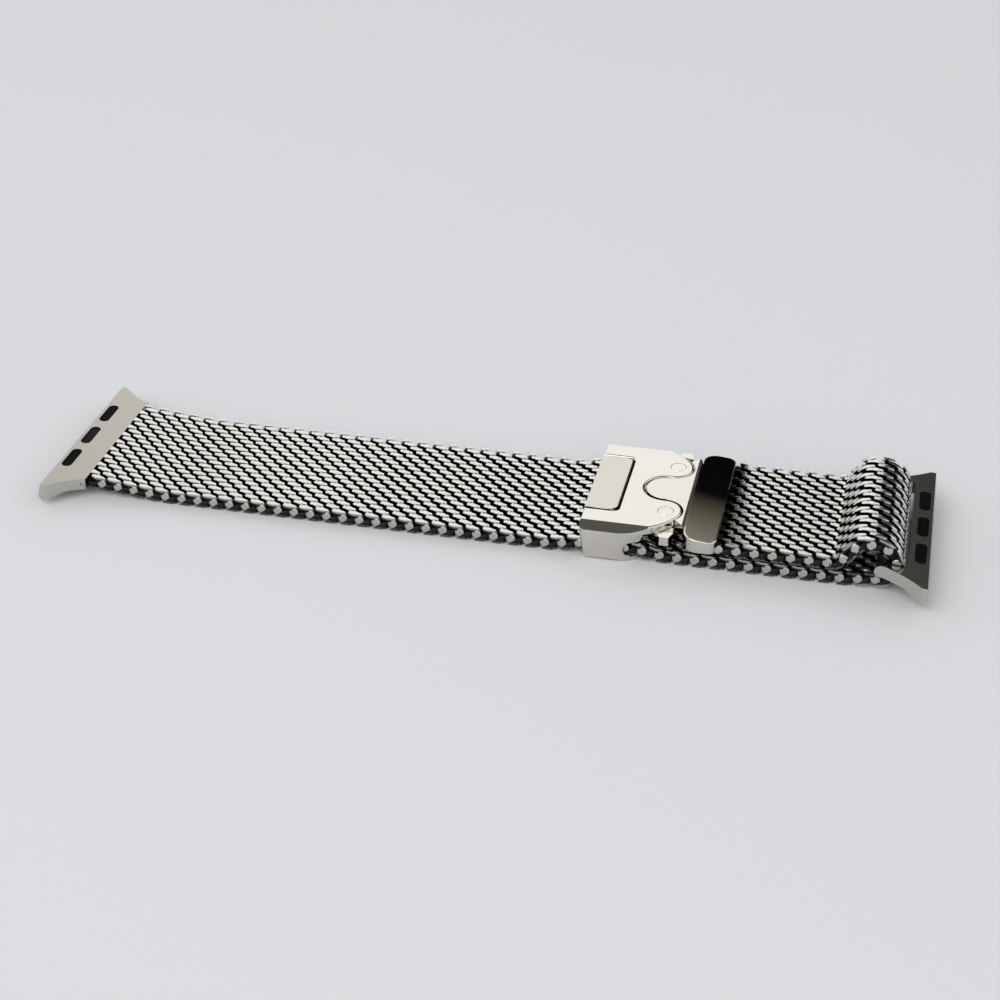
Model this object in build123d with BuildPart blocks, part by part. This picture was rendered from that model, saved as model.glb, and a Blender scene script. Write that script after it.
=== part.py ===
from build123d import *
import math
import os

os.makedirs("parts", exist_ok=True)

# A milanese mesh watch band laid wrist side up. Millimetres, +Z up.
# The origin is the centre of the clasp's flat underside, +X runs along the band
# towards the slotted lug, and +Y is the band's rear edge.

# Driving sizes of the woven band
mesh_width = 20.0
mesh_thickness = 1.9
layer_gap = 0.15
knuckle_play = 0.12
section_length = 14.0
first_flex = 10.5
last_section_length = 15.0
section_count = 3
lug_rise = 1.05
rise_length = 11.0
rise_bend = 12.0
butt_gap = 0.05
wire_spacing = 1.13
groove_side = 0.45

# Driving sizes of the clasp's box section
floor_length = 7.3
clasp_floor = 0.5
clasp_wall = 0.6
channel_side_play = 0.2
channel_play = 0.07
channel_head_play = 0.13
deck_thickness = 0.4
lip_height = 0.75
wall_curl_start = 4.05
wall_curl_radius = 5.6
wall_end_gap = 0.15
wall_slope = 0.65
wall_end_slope = 0.45
slot_start = 5.7
slot_round_share = 0.45
base_edge_round = 0.35
base_side_round = 0.5
deck_lobe_radius = 1.6

# Driving sizes of the top plate
plate_thickness = 1.1
plate_corner_round = 0.8
plate_seam = 0.1
lobe_radius = 2.4
lobe_reach = 9.95
notch_radius = 2.9
notch_back = 0.4
shoulder_reach = 4.65
top_edge_round = 0.25
bevel_width = 1.3
bevel_drop = 0.75

# Driving sizes of the levers, their rivets and springs
rivet_lead = 0.35
rivet_side = 0.2
rivet_shank_radius = 0.6
rivet_head_radius = 1.03
rivet_head_depth = 0.4
rivet_edge = 0.08
fixed_gap = 0.02
running_gap = 0.05
lever_thickness = 0.8
lever_play = 0.05
hub_radius = 1.45
ear_tip_inset = 0.3
ear_side = 1.5
ear_tip_side = 0.0
ear_taper = 0.35
ear_root_side = 0.75
ear_root_back = 1.1
ear_rise = 0.4
ear_rise_length = 1.15
hook_back = 2.75
hook_drop = 3.3
hook_length = 1.1
hook_taper = 0.18
arm_back_drop = 1.9
arm_inner_back = 0.9
arm_inner_drop = 2.6
spring_radius = 0.36
spring_bore_radius = 0.2
spring_end_gap = 0.3

# Driving sizes of the clamp flap and its pin
flap_length = 4.2
flap_half_width = 6.5
flap_corner_round = 1.3
window_corner_round = 0.8
flap_gap = 0.22
flap_dish = 0.07
flap_dish_lead = 0.6
flap_edge_round = 0.15
flap_underside_gap = 0.05
clamp_pin_radius = 0.3
clamp_pin_inset = 0.5
clamp_pin_depth = 0.55
clamp_knuckle_radius = 0.5
clamp_pin_grip = 1.2
clamp_nose_width = 0.35
clamp_nose_root = 1.2
clamp_gap = 0.1
deck_bridge = 2.1

# Driving sizes of the buckle tongue and its cross bar
tongue_top_drop = 0.05
tongue_tip_gap = 0.32
lobe_gap = 0.2
bar_lobe_gap = 0.72
bar_length = 4.38
bar_side_inset = 0.2
bar_corner_round = 1.1
bar_shoulder_round = 2.0
bar_edge_round = 0.2
crease_lead = 0.3
crease_drop = 0.35
slope_drop = 0.4
bar_clearance = 0.7
pocket_length = 2.5
pocket_head_gap = 0.05
pocket_side_gap = 0.15
stem_half_width = 1.5
head_step = 0.25
head_length = 0.8
head_taper_share = 0.26
head_lead = 1.6
mesh_pin_radius = 0.3
mesh_pin_rise = 0.2
mesh_pin_cover = 0.15

# Driving sizes of the two lugs
lug_length = 27.5
lug_thickness = 1.65
lug_depth = 5.55
lug_flat = 5.1
nose_drop = 1.1
keel_drop = 1.85
keel_inset = 0.5
waist_inset = 3.1
nose_round = 0.9
keel_round = 0.45
rail_reach = 0.6
neck_overhang = 0.8
neck_length = 0.3
flare_end_inset = 1.15
flare_bow_share = 0.04
left_lug_tilt = 4.0
right_lug_tilt = -6.0
oval_spacing = 6.22
oval_length = 4.6
oval_width = 1.45
oval_inset = 1.6
oval_pocket_depth = 1.5
oval_recess = 0.1
latch_height = 0.8
latch_gap = 0.05
pad_height = 1.3
latch_spring_radius = 0.4
latch_spring_bore_radius = 0.2
latch_spring_gap = 0.05
groove_height = 1.0
groove_depth = 0.9
tongue_gap = 0.04
lug_pin_radius = 0.22
lug_pin_inset = 0.45
lug_bar_radius = 0.65
lug_bar_reach = 37.8
lug_bar_height = 3.2
rail_start = 3.1
arm_inner_gap = 0.25

# Driving sizes of the fold round the slotted lug
fold_entry = 5.1
fold_flat = 1.2
fold_lead = 0.9
fold_side_gap = 0.3
fold_top = 7.4
fold_left_reach = 2.9
fold_top_dip = 0.25
fold_inner_round = 1.5
fold_foot_reach = 5.3
fold_end_reach = 6.6

# Levels worked out from the driving sizes
mesh_middle = mesh_thickness / 2
deck_bottom = clasp_floor + channel_play + mesh_thickness + channel_head_play
deck_top = deck_bottom + deck_thickness
lever_bottom = deck_top + lever_play
lever_top = lever_bottom + lever_thickness
plate_bottom = lever_top + lever_play
plate_top = plate_bottom + plate_thickness
channel_middle = clasp_floor + channel_play + mesh_middle
tail_middle = mesh_thickness + layer_gap + mesh_middle

# Places along the band worked out from the driving sizes
clasp_left = -floor_length / 2
floor_right = floor_length / 2
lobe_x = clasp_left + lobe_reach
lobe_y = notch_radius + lobe_radius
rivet_x = lobe_x + rivet_lead
rivet_offset = lobe_y + rivet_side
wall_right = rivet_x - hub_radius - wall_end_gap
shoulder_x = clasp_left + shoulder_reach
bar_left = lobe_x + lobe_radius + bar_lobe_gap
bar_right = bar_left + bar_length
crease_x = bar_left - crease_lead
pocket_left = bar_right - pocket_length
lug_bar_x = clasp_left + lug_bar_reach
fold_x = lug_bar_x - fold_entry
inner_half_width = mesh_width / 2 + channel_side_play
base_half_width = inner_half_width + clasp_wall
bar_half_width = base_half_width - bar_side_inset
neck_half_width = mesh_width / 2 + neck_overhang
flex_places = [clasp_left - first_flex - i * section_length for i in range(section_count + 1)]
last_flex = flex_places[-1]
mesh_end_x = last_flex - last_section_length
overrun = 2.0 * base_half_width


def lug_side_plane(x, z, outward, tilt):
    """The side view of a lug: local X runs outwards along it, local Y upwards."""
    run = math.cos(math.radians(tilt))
    climb = math.sin(math.radians(tilt))
    return Plane(origin=(x, 0, z), x_dir=(outward * run, 0, climb), z_dir=(0, -outward, 0))


def lug_top_plane(x, z, outward, tilt, height):
    """The plan view of a lug, at a height over its inner end's middle."""
    run = math.cos(math.radians(tilt))
    climb = math.sin(math.radians(tilt))
    return Plane(
        origin=(x - outward * climb * height, 0, z + run * height),
        x_dir=(outward * run, 0, climb),
        z_dir=(-outward * climb, 0, run),
    )


def save(piece, label):
    piece.label = label
    export_step(piece, f"parts/{label}.step")


# Woven band
# The band is wire spirals that lie across it. A square set on its corner at each
# of these places cuts the groove where one spiral meets the next.
def groove_places(run, sides):
    """Places along a run, on the face to its left (1) or to its right (-1)."""
    count = round(run.length / wire_spacing)
    places = []
    for i in range(1, count):
        spot = run @ (i / count)
        ahead = run % (i / count)
        turn = math.degrees(math.atan2(ahead.Z, ahead.X)) + 45
        for side in sides:
            x = spot.X - side * ahead.Z * mesh_middle
            z = spot.Z + side * ahead.X * mesh_middle
            places.append(Location((x, z, 0), (0, 0, turn)))
    return places


# Each section is a plate whose left end is hollowed round a flex line and whose
# right end is rounded on one, so neighbouring sections turn like hinge knuckles.
def mesh_section(left, right):
    run = Edge.make_line((left, 0, mesh_middle), (right, 0, mesh_middle))
    with BuildPart() as section:
        with BuildSketch(Plane.XZ):
            with BuildLine():
                Polyline(
                    (left, 0),
                    (right, 0),
                    (right, mesh_thickness),
                    (left, mesh_thickness),
                    close=True,
                )
            make_face()
            with Locations((right, mesh_middle)):
                Circle(mesh_middle)
            with Locations((left, mesh_middle)):
                Circle(mesh_middle + knuckle_play, mode=Mode.SUBTRACT)
            with Locations(groove_places(run, (-1, 1))):
                Rectangle(groove_side, groove_side, mode=Mode.SUBTRACT)
        extrude(amount=mesh_width / 2, both=True)
    return section.part


for number in range(section_count):
    section = mesh_section(flex_places[number + 1], flex_places[number])
    save(section, f"mesh_section_{number + 1}")

# The last section climbs to the fixed lug and ends in a thin tongue inside it.
climb_start = mesh_end_x + rise_length
lug_mesh_middle = mesh_middle + lug_rise
tongue_height = groove_height - 2 * tongue_gap
with BuildPart() as mesh_lug_section:
    with BuildLine(Plane.XZ) as climb_path:
        FilletPolyline(
            (mesh_end_x, lug_mesh_middle),
            (climb_start, mesh_middle),
            (last_flex, mesh_middle),
            radius=rise_bend,
        )
    with BuildSketch(Plane(origin=climb_path.line @ 0, z_dir=climb_path.line % 0, x_dir=(0, 1, 0))):
        Rectangle(mesh_width, mesh_thickness)
    sweep()
    with BuildSketch(Plane.XZ):
        with Locations((last_flex, mesh_middle)):
            Circle(mesh_middle)
    extrude(amount=mesh_width / 2, both=True)
    with BuildSketch(Plane.XZ):
        with Locations(groove_places(climb_path.wire(), (-1, 1))):
            Rectangle(groove_side, groove_side)
    extrude(amount=mesh_width / 2, both=True, mode=Mode.SUBTRACT)
left_lug_side = lug_side_plane(mesh_end_x, lug_mesh_middle, -1, left_lug_tilt)
with BuildPart() as mesh_lug_tongue:
    with BuildSketch(left_lug_side):
        with Locations((groove_depth / 2 - mesh_thickness / 2 - tongue_gap, 0)):
            Rectangle(groove_depth + mesh_thickness, tongue_height)
        with Locations((lug_pin_inset, 0)):
            Circle(lug_pin_radius + fixed_gap, mode=Mode.SUBTRACT)
    extrude(amount=mesh_width / 2 - groove_depth, both=True)
with BuildPart() as mesh_lug_whole:
    add(mesh_lug_section.part)
    with BuildSketch(left_lug_side):
        with Locations((lug_depth / 2 - butt_gap, 0)):
            Rectangle(lug_depth, lug_depth)
    extrude(amount=overrun, both=True, mode=Mode.SUBTRACT)
    add(mesh_lug_tongue.part)
save(mesh_lug_whole.part, "mesh_lug_section")

# The clasp section passes through the clasp, lifted by its floor, and lies on
# the table again as the lower layer under the cross bar.
clasp_ramp = mesh_thickness
with BuildPart() as mesh_clasp_section:
    with BuildLine(Plane.XZ) as lower_path:
        FilletPolyline(
            (flex_places[0], mesh_middle),
            (clasp_left - 2 * clasp_ramp, mesh_middle),
            (clasp_left, channel_middle),
            (floor_right, channel_middle),
            (floor_right + 2 * clasp_ramp, mesh_middle),
            (fold_x - butt_gap, mesh_middle),
            radius=rise_bend / 4,
        )
    with BuildSketch(Plane(origin=lower_path.line @ 0, z_dir=lower_path.line % 0, x_dir=(0, 1, 0))):
        Rectangle(mesh_width, mesh_thickness)
    sweep()
    with BuildSketch(Plane.XZ):
        with Locations((flex_places[0], mesh_middle)):
            Circle(mesh_middle + knuckle_play)
        with Locations(groove_places(lower_path.wire(), (-1, 1))):
            Rectangle(groove_side, groove_side)
    extrude(amount=overrun, both=True, mode=Mode.SUBTRACT)
save(mesh_clasp_section.part, "mesh_clasp_section")

# The fold goes under the slotted lug's bar, up through the slot and back over it.
fold_radius = lug_bar_radius + fold_side_gap + mesh_middle
fold_right = lug_bar_x + fold_radius
fold_bottom = lug_bar_height - fold_radius
fold_upper = fold_top - mesh_middle
fold_end = lug_bar_x - fold_end_reach
with BuildPart() as mesh_fold:
    with BuildLine(Plane.XZ) as fold_path:
        FilletPolyline(
            (fold_x, mesh_middle),
            (fold_x + fold_flat, mesh_middle),
            (lug_bar_x - fold_lead, fold_bottom),
            (fold_right, fold_bottom),
            (fold_right, fold_upper),
            (lug_bar_x - fold_left_reach, fold_upper - fold_top_dip),
            (lug_bar_x - fold_foot_reach, tail_middle),
            (fold_end, tail_middle),
            radius=[fold_radius, fold_radius, fold_radius, fold_radius,
                    fold_inner_round, fold_inner_round],
        )
    with BuildSketch(Plane(origin=fold_path.line @ 0, z_dir=fold_path.line % 0, x_dir=(0, 1, 0))):
        Rectangle(mesh_width, mesh_thickness)
    sweep()
    with BuildSketch(Plane.XZ):
        with Locations(groove_places(fold_path.wire(), (-1,))):
            Rectangle(groove_side, groove_side)
    extrude(amount=mesh_width / 2, both=True, mode=Mode.SUBTRACT)
save(mesh_fold.part, "mesh_fold")

# The tail lies over the lower layer, and its end is rounded where the coil curls
# over the pin in the cross bar.
tail_left = pocket_left + pocket_side_gap
mesh_pin_x = tail_left + mesh_middle
mesh_pin_z = tail_middle + mesh_pin_rise
mesh_pin_reach = bar_half_width - mesh_pin_cover
tail_run = Edge.make_line((tail_left + mesh_thickness, 0, tail_middle), (fold_end, 0, tail_middle))
with BuildPart() as mesh_tail:
    with BuildSketch(Plane.XZ):
        with Locations(((tail_left + mesh_middle + fold_end - butt_gap) / 2, tail_middle)):
            Rectangle(fold_end - butt_gap - tail_left - mesh_middle, mesh_thickness)
        with Locations((tail_left + mesh_middle, tail_middle)):
            Circle(mesh_middle)
        with Locations((mesh_pin_x, mesh_pin_z)):
            Circle(mesh_pin_radius + running_gap, mode=Mode.SUBTRACT)
        with Locations(groove_places(tail_run, (-1, 1))):
            Rectangle(groove_side, groove_side, mode=Mode.SUBTRACT)
    extrude(amount=mesh_width / 2, both=True)
save(mesh_tail.part, "mesh_tail")

# Clasp base: a floor, two side walls with a slot where the mesh leaves, and a
# deck over the mesh channel with two lobes that carry the rivets.
slot_left = clasp_left + slot_start
slot_round = slot_round_share * (deck_bottom - lip_height)
curl_x = clasp_left + wall_curl_start
curl_y = base_half_width - wall_curl_radius
flap_right = clasp_left + flap_length
window_right = flap_right + flap_gap
window_half_width = flap_half_width + flap_gap
deck_lobe_x = (wall_right + rivet_x) / 2


def curled_outline(left, thickness, right):
    """Half of the clasp's plan: straight sides that curl in towards the levers."""
    radius = wall_curl_radius - thickness
    curl_end = math.degrees(math.acos((wall_right - curl_x) / radius))
    end_y = curl_y + radius * math.sin(math.radians(curl_end))
    Line((left, 0), (left, base_half_width - thickness))
    Line((left, base_half_width - thickness), (curl_x, base_half_width - thickness))
    CenterArc((curl_x, curl_y), radius, 90, curl_end - 90)
    Line((wall_right, end_y), (right, end_y))
    Line((right, end_y), (right, 0))


with BuildPart() as clasp_base:
    with BuildSketch(Plane.XZ) as wall_outline:
        with BuildLine():
            Polyline(
                (clasp_left + wall_slope, 0),
                (floor_right, 0),
                (floor_right, lip_height),
                (slot_left, lip_height),
                (slot_left, deck_bottom),
                (wall_right - wall_end_slope, deck_bottom),
                (wall_right, plate_bottom),
                (clasp_left, plate_bottom),
                close=True,
            )
        make_face()
        fillet(wall_outline.vertices().group_by(Axis.Y)[0], base_edge_round)
        fillet(wall_outline.vertices().filter_by(lambda v: abs(v.X - slot_left) < fixed_gap), slot_round)
    extrude(amount=base_half_width, both=True)
    fillet(clasp_base.edges().filter_by(Axis.X).group_by(Axis.Z)[0], base_side_round)
    with BuildSketch(Plane.YZ):
        with Locations((0, (clasp_floor + deck_bottom) / 2)):
            Rectangle(2 * inner_half_width, deck_bottom - clasp_floor)
    extrude(amount=overrun, both=True, mode=Mode.SUBTRACT)
    with BuildSketch(Plane.XY):
        Rectangle(2 * overrun, 2 * overrun)
        with BuildLine():
            curled_outline(clasp_left - clasp_wall, 0, overrun)
            mirror(about=Plane.XZ)
        make_face(mode=Mode.SUBTRACT)
    extrude(amount=overrun, mode=Mode.SUBTRACT)
    with BuildSketch(Plane.XY.offset(deck_top)):
        with BuildLine():
            curled_outline(clasp_left + clasp_wall, clasp_wall, overrun)
            mirror(about=Plane.XZ)
        make_face()
    extrude(amount=overrun, mode=Mode.SUBTRACT)
    with BuildSketch(Plane.XY.offset(deck_bottom)):
        with Locations((rivet_x, rivet_offset), (rivet_x, -rivet_offset)):
            Circle(deck_lobe_radius)
        with Locations((deck_lobe_x, rivet_offset), (deck_lobe_x, -rivet_offset)):
            Rectangle(rivet_x - wall_right + deck_lobe_radius, 2 * deck_lobe_radius)
    extrude(amount=deck_thickness)
    with BuildSketch(Plane.XY.offset(deck_bottom)):
        with Locations(((clasp_left + deck_bridge + window_right) / 2, 0)):
            Rectangle(window_right - clasp_left - deck_bridge, 2 * window_half_width)
        with Locations((rivet_x, rivet_offset), (rivet_x, -rivet_offset)):
            Circle(rivet_shank_radius + fixed_gap)
    extrude(amount=deck_thickness, mode=Mode.SUBTRACT)
save(clasp_base.part, "clasp_base")

# Top plate: square shoulders that sweep into two round lobes either side of a
# U-shaped notch, bevelled sides, and a window for the clamp flap.
notch_x = lobe_x - notch_back
shoulder_drop = base_half_width - lobe_y
shoulder_run = lobe_x - shoulder_x
shoulder_radius = (shoulder_run**2 + shoulder_drop**2 - lobe_radius**2) / (
    2 * (shoulder_drop - lobe_radius)
)
shoulder_y = base_half_width - shoulder_radius
meet_angle = math.degrees(math.atan2(lobe_y - shoulder_y, shoulder_run))
clamp_pin_x = flap_right - clamp_pin_inset
clamp_pin_z = plate_top - clamp_pin_depth
with BuildPart() as clasp_top_plate:
    with BuildSketch(Plane.XY.offset(plate_bottom)):
        with BuildLine():
            Line((clasp_left, 0), (clasp_left, base_half_width))
            Line((clasp_left, base_half_width), (shoulder_x, base_half_width))
            CenterArc((shoulder_x, shoulder_y), shoulder_radius, 90, meet_angle - 90)
            CenterArc((lobe_x, lobe_y), lobe_radius, meet_angle, -90 - meet_angle)
            Line((lobe_x, notch_radius), (notch_x, notch_radius))
            CenterArc((notch_x, 0), notch_radius, 90, 90)
            mirror(about=Plane.XZ)
        make_face()
    extrude(amount=plate_thickness)
    fillet(clasp_top_plate.edges().filter_by(Axis.Z).group_by(Axis.X)[0], plate_corner_round)
    chamfer(clasp_top_plate.faces().sort_by(Axis.Z)[0].outer_wire().edges(), plate_seam)
    with BuildSketch(Plane.YZ):
        with BuildLine():
            Polyline(
                (base_half_width - 2 * bevel_width, plate_top + bevel_drop),
                (base_half_width + bevel_width, plate_top - 2 * bevel_drop),
                (base_half_width + bevel_width, plate_top + bevel_drop),
                close=True,
            )
        make_face()
        mirror(about=Plane.YZ)
    extrude(amount=overrun, both=True, mode=Mode.SUBTRACT)
    with BuildSketch(Plane.XY.offset(plate_bottom)) as window:
        with Locations((window_right - overrun / 2, 0)):
            Rectangle(overrun, 2 * window_half_width)
        fillet(window.vertices().group_by(Axis.X)[-1], window_corner_round)
    extrude(amount=plate_thickness, mode=Mode.SUBTRACT)
    fillet(clasp_top_plate.faces().sort_by(Axis.Z)[-1].outer_wire().edges(), top_edge_round)
    with Locations((rivet_x, rivet_offset, plate_top), (rivet_x, -rivet_offset, plate_top)):
        CounterBoreHole(
            radius=rivet_shank_radius + fixed_gap,
            counter_bore_radius=rivet_head_radius + fixed_gap,
            counter_bore_depth=rivet_head_depth,
        )
    with BuildSketch(Plane.XZ):
        with Locations((clamp_pin_x, clamp_pin_z)):
            Circle(clamp_pin_radius + fixed_gap)
    extrude(amount=window_half_width + clamp_pin_grip, both=True, mode=Mode.SUBTRACT)
save(clasp_top_plate.part, "clasp_top_plate")

# Two rivets, flush with the plate, on which the levers turn
with BuildPart() as lever_rivets:
    with BuildSketch(Plane.XY.offset(deck_bottom)):
        with Locations((rivet_x, rivet_offset), (rivet_x, -rivet_offset)):
            Circle(rivet_shank_radius)
    extrude(amount=plate_top - deck_bottom)
    with BuildSketch(Plane.XY.offset(plate_top - rivet_head_depth)):
        with Locations((rivet_x, rivet_offset), (rivet_x, -rivet_offset)):
            Circle(rivet_head_radius)
    extrude(amount=rivet_head_depth)
    chamfer(lever_rivets.edges().group_by(Axis.Z)[-1], rivet_edge)
save(lever_rivets.part, "lever_rivets")


# Release levers: an ear outside, a hub on the rivet, and an arm with a hook that
# holds the head of the buckle tongue.
def release_lever(side):
    ear_reach = base_half_width - rivet_offset - ear_tip_inset
    ear = [
        (rivet_x - hub_radius, side * rivet_offset),
        (rivet_x - ear_root_side, side * (rivet_offset + ear_reach - ear_root_back)),
        (rivet_x + ear_tip_side, side * (rivet_offset + ear_reach)),
        (rivet_x + ear_side - ear_taper, side * (rivet_offset + ear_reach)),
        (rivet_x + ear_side, side * (rivet_offset + ear_reach - ear_root_back)),
        (rivet_x + ear_side, side * rivet_offset),
    ]
    arm = [
        (rivet_x - hook_back, side * (rivet_offset - hook_drop)),
        (rivet_x - hook_back + hook_length, side * (rivet_offset - hook_drop - hook_taper)),
        (rivet_x - arm_inner_back, side * (rivet_offset - arm_inner_drop)),
        (rivet_x + hub_radius / 2, side * (rivet_offset - hub_radius)),
        (rivet_x - hub_radius / 2, side * (rivet_offset + hub_radius)),
        (rivet_x - hook_back, side * (rivet_offset - arm_back_drop)),
    ]
    with BuildPart() as lever:
        with BuildSketch(Plane.XY.offset(lever_bottom)):
            with BuildLine():
                Polyline(*ear, close=True)
            make_face()
            with BuildLine():
                Polyline(*arm, close=True)
            make_face()
            with Locations((rivet_x, side * rivet_offset)):
                Circle(hub_radius)
                Circle(rivet_shank_radius + running_gap, mode=Mode.SUBTRACT)
        extrude(amount=lever_thickness)
        with BuildSketch(Plane.XY.offset(lever_top)):
            with BuildLine():
                Polyline(*ear, close=True)
            make_face()
            with Locations((rivet_x, side * rivet_offset)):
                Circle(ear_reach - ear_rise_length, mode=Mode.SUBTRACT)
        extrude(amount=ear_rise)
    return lever.part


save(release_lever(1), "rear_lever")
save(release_lever(-1), "front_lever")


# Coil springs, as plain sleeves, that push each hook back in from the side wall
def lever_spring(side):
    arm_slope = (hub_radius + arm_back_drop) / (hook_back - hub_radius / 2)
    start = rivet_offset - arm_back_drop + 2 * spring_radius * arm_slope + spring_end_gap
    spring_x = rivet_x - hook_back + spring_radius
    curl_run = spring_x + spring_radius - curl_x
    wall_y = curl_y + math.sqrt((wall_curl_radius - clasp_wall) ** 2 - curl_run**2)
    with BuildPart() as spring:
        with BuildSketch(Plane.XZ.offset(-side * start)):
            with Locations((spring_x, lever_bottom + lever_thickness / 2)):
                Circle(spring_radius)
                Circle(spring_bore_radius, mode=Mode.SUBTRACT)
        extrude(amount=-side * (wall_y - fixed_gap - start))
    return spring.part


save(lever_spring(1), "rear_lever_spring")
save(lever_spring(-1), "front_lever_spring")

# Clamp flap: a dished plate whose right end turns on a pin, with a nose below the
# pin that presses on the mesh when the flap lies shut.
nose_bottom = channel_middle + mesh_middle + clamp_gap
nose_reach = clamp_pin_z - nose_bottom
flap_bottom = plate_bottom + flap_underside_gap
dish_chord = flap_length - 2 * clamp_pin_inset - flap_dish_lead
dish_radius = dish_chord**2 / (8 * flap_dish) + flap_dish / 2
dish_x = clasp_left + flap_dish_lead + dish_chord / 2 + clamp_pin_inset / 2
with BuildPart() as clamp_flap:
    with BuildSketch(Plane.XZ) as flap_side:
        with BuildLine():
            Polyline(
                (clasp_left, flap_bottom),
                (clasp_left, plate_top),
                (flap_right, plate_top),
                (flap_right, clamp_pin_z),
                (clamp_pin_x, clamp_pin_z),
                (clamp_pin_x, flap_bottom),
                close=True,
            )
        make_face()
        fillet(flap_side.vertices().group_by(Axis.Y)[-1].sort_by(Axis.X)[-1], flap_edge_round)
        with Locations((clamp_pin_x, clamp_pin_z)):
            Circle(clamp_knuckle_radius)
        with BuildLine():
            Polyline(
                (clamp_pin_x - clamp_pin_depth, flap_bottom + running_gap),
                (clamp_pin_x + clamp_pin_depth, clamp_pin_z),
                (clamp_pin_x + clamp_nose_width, clamp_pin_z - nose_reach / 2),
                (clamp_pin_x, nose_bottom),
                (clamp_pin_x - clamp_nose_width, nose_bottom),
                (clamp_pin_x - clamp_nose_root, flap_bottom),
                close=True,
            )
        make_face()
        with Locations((dish_x, plate_top - flap_dish + dish_radius)):
            Circle(dish_radius, mode=Mode.SUBTRACT)
        with Locations((clamp_pin_x, clamp_pin_z)):
            Circle(clamp_pin_radius + running_gap, mode=Mode.SUBTRACT)
    extrude(amount=flap_half_width, both=True)
    with BuildSketch(Plane.XY.offset(nose_bottom)) as flap_plan:
        with Locations((flap_right - overrun / 2, 0)):
            Rectangle(overrun, 2 * flap_half_width)
        fillet(flap_plan.vertices().group_by(Axis.X)[-1], flap_corner_round)
    extrude(amount=overrun, mode=Mode.INTERSECT)
save(clamp_flap.part, "clamp_flap")

with BuildPart() as clamp_pin:
    with BuildSketch(Plane.XZ):
        with Locations((clamp_pin_x, clamp_pin_z)):
            Circle(clamp_pin_radius)
    extrude(amount=window_half_width + clamp_pin_grip - fixed_gap, both=True)
save(clamp_pin.part, "clamp_pin")

# Buckle tongue: a tongue that fills the notch, fillets that follow the lobes, and
# a cross bar whose top slopes away. A stem below carries the head that the hooks hold.
tongue_top = plate_top - tongue_top_drop
tongue_tip_radius = notch_radius - tongue_tip_gap
follow_radius = lobe_radius + lobe_gap
bar_bottom = mesh_thickness + bar_clearance
head_right = rivet_x - hook_back - head_lead
head_left = head_right - head_length
head_half_width = rivet_offset - hook_drop + head_step
head_foot = head_right + (head_half_width - stem_half_width) / head_taper_share
pocket_top = tail_middle + mesh_middle + pocket_head_gap
slope_top = tongue_top - crease_drop
with BuildPart() as cross_bar:
    with BuildSketch(Plane.XZ):
        with BuildLine():
            Polyline(
                (bar_left, bar_bottom),
                (bar_left, slope_top),
                (bar_right, slope_top - slope_drop),
                (bar_right, bar_bottom),
                close=True,
            )
        make_face()
    extrude(amount=bar_half_width, both=True)
    fillet(cross_bar.edges().filter_by(Axis.Z).group_by(Axis.X)[0], bar_shoulder_round)
    fillet(cross_bar.edges().filter_by(Axis.Z).group_by(Axis.X)[-1], bar_corner_round)
    fillet(cross_bar.faces().sort_by(Axis.Z)[-1].outer_wire().edges(), bar_edge_round)
with BuildPart() as buckle_tongue:
    with BuildSketch(Plane.XY.offset(plate_bottom)):
        with Locations((notch_x, 0)):
            Circle(tongue_tip_radius)
        with Locations(((notch_x + bar_right) / 2, 0)):
            Rectangle(bar_right - notch_x, 2 * tongue_tip_radius)
        with BuildLine():
            Polyline(
                (lobe_x, 0),
                (lobe_x, lobe_y),
                (bar_left, bar_half_width - bar_shoulder_round),
                (bar_left + bar_shoulder_round, 0),
                close=True,
            )
        make_face()
        mirror(about=Plane.XZ)
        with Locations((lobe_x, lobe_y), (lobe_x, -lobe_y)):
            Circle(follow_radius, mode=Mode.SUBTRACT)
    extrude(amount=tongue_top - plate_bottom)
    with BuildSketch(Plane.XZ):
        with BuildLine():
            Polyline(
                (crease_x, tongue_top),
                (bar_left, slope_top),
                (bar_right, slope_top - slope_drop),
                (bar_right, tongue_top),
                close=True,
            )
        make_face()
    extrude(amount=overrun, both=True, mode=Mode.SUBTRACT)
    add(cross_bar.part)
    with BuildSketch(Plane.XY.offset(lever_bottom)):
        with BuildLine():
            Polyline(
                (head_left, 0),
                (head_left, head_half_width),
                (head_right, head_half_width),
                (head_foot, stem_half_width),
                (bar_left + bar_corner_round, stem_half_width),
                (bar_left + bar_corner_round, 0),
                close=True,
            )
        make_face()
        mirror(about=Plane.XZ)
    extrude(amount=lever_thickness)
    with BuildSketch(Plane.XY.offset(lever_bottom)):
        with Locations(((notch_x + bar_left) / 2, 0)):
            Rectangle(bar_left - notch_x, 2 * stem_half_width)
    extrude(amount=plate_bottom - lever_bottom)
    with BuildSketch(Plane.XZ):
        with Locations((pocket_left + overrun / 2, pocket_top - overrun / 2)):
            Rectangle(overrun, overrun)
    extrude(amount=mesh_width / 2 + pocket_side_gap, both=True, mode=Mode.SUBTRACT)
    with BuildSketch(Plane.XZ):
        with Locations((mesh_pin_x, mesh_pin_z)):
            Circle(mesh_pin_radius + fixed_gap)
    extrude(amount=mesh_pin_reach, both=True, mode=Mode.SUBTRACT)
save(buckle_tongue.part, "buckle_tongue")

with BuildPart() as tail_pin:
    with BuildSketch(Plane.XZ):
        with Locations((mesh_pin_x, mesh_pin_z)):
            Circle(mesh_pin_radius)
    extrude(amount=mesh_pin_reach - fixed_gap, both=True)
save(tail_pin.part, "tail_pin")


# Lugs: a thin flared plate whose outer edge thickens into the rail that slides
# into a watch case, with three oval pockets for the latch and two pads.
lug_middle = lug_thickness / 2


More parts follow.
